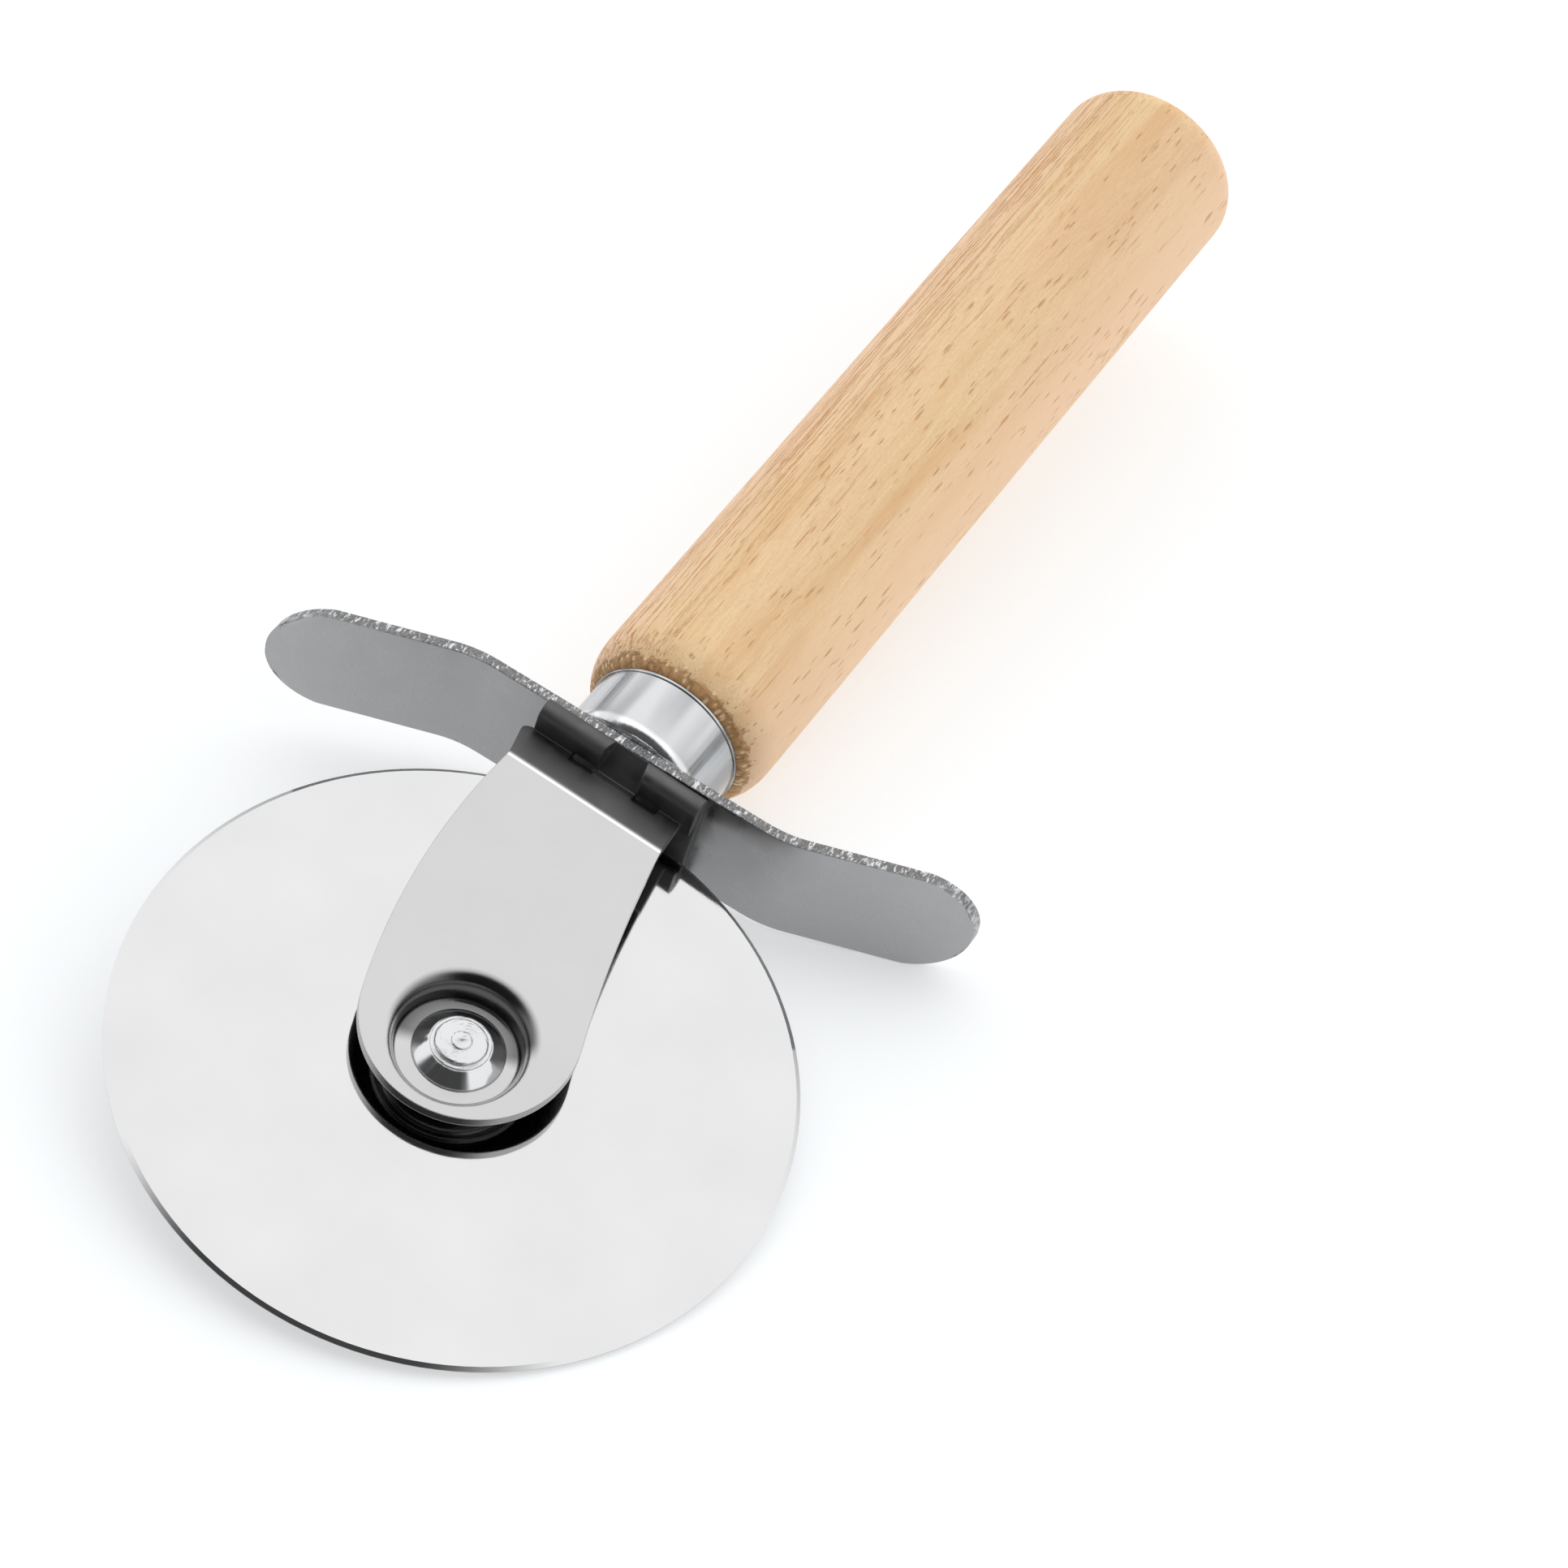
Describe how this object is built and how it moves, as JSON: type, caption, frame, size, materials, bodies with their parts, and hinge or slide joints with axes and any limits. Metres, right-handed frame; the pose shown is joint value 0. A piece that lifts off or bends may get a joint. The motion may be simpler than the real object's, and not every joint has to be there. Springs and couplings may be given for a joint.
{
  "type": "pizza cutter wheel",
  "caption": "Round steel cutting wheel that turns on a rivet in a sheet-steel fork, with an S-bent finger guard, a bright ferrule and a straight round wooden handle.",
  "frame": {"origin": "middle of the wooden handle, on its axis", "axes": "+X along the handle towards its butt, +Z square to the blade; the wheel's axle lies at -X, a little to the -Y side of the handle's axis"},
  "size_m": [0.2306, 0.0967, 0.0264],
  "materials": {
    "blade": "mirror-polished stainless steel with a finely ground edge",
    "bush_steel": "turned steel",
    "washer_steel": "stamped steel",
    "fork_steel": "polished stainless sheet",
    "rivet_steel": "riveted steel with swirl marks on the head",
    "collar_chrome": "bright plated",
    "guard_steel": "polished stainless strip with rough sheared edges",
    "ferrule_chrome": "bright drawn cup",
    "handle_wood": "light, fine-pored hardwood, smooth sanded",
    "tang_steel": "plain drawn steel"
  },
  "bodies": {
    "frame": {"fork": "fork_steel", "axle_rivet": "rivet_steel", "front_collar": "collar_chrome", "rear_collar": "collar_chrome", "finger_guard": "guard_steel", "ferrule": "ferrule_chrome", "handle": "handle_wood", "tang": "tang_steel"},
    "wheel": {"blade": "blade", "wheel_bush": "bush_steel", "front_washer": "washer_steel", "rear_washer": "washer_steel"}
  },
  "joints": [
    {"name": "wheel_spin", "type": "hinge", "parent": "frame", "child": "wheel", "pos_m": [-0.1228, -0.00645, 0], "axis": [0, 0, 1], "continuous": true}
  ]
}
